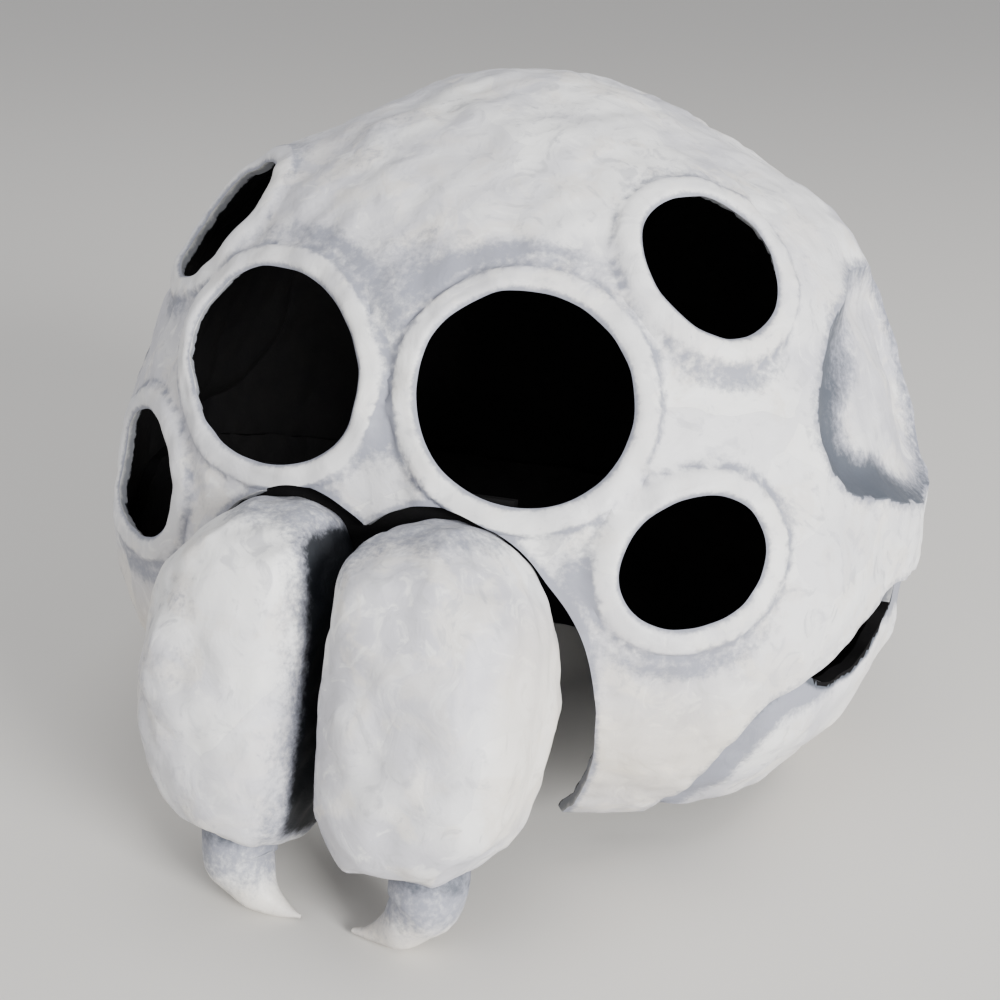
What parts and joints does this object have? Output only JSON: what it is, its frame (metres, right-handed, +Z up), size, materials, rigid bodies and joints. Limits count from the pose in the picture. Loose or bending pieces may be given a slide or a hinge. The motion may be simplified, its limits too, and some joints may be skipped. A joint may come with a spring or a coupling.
{
  "type": "papier-mache spider head mask",
  "caption": "Hollow domed spider head mask in painted papier-mache, with open eyes, a lobed mouth and hanging jaws that end in fangs; worn over the whole head.",
  "frame": {"origin": "centre of the mask's box at the surface that it stands on, resting on its two fangs and the rear of its neck rim", "axes": "+X the wearer's left, +Y from the face to the back of the head, +Z up"},
  "size_m": [0.3548, 0.3772, 0.2932],
  "materials": {
    "painted_paper": "matte",
    "fang_paint": "matte",
    "black_paper": "matte"
  },
  "bodies": {
    "root": {"carapace": "painted_paper", "under_shell": "painted_paper", "chelicera_left": "painted_paper", "chelicera_right": "painted_paper", "fang_left": "fang_paint", "fang_right": "fang_paint", "jaw_bridge": "black_paper"}
  },
  "joints": []
}
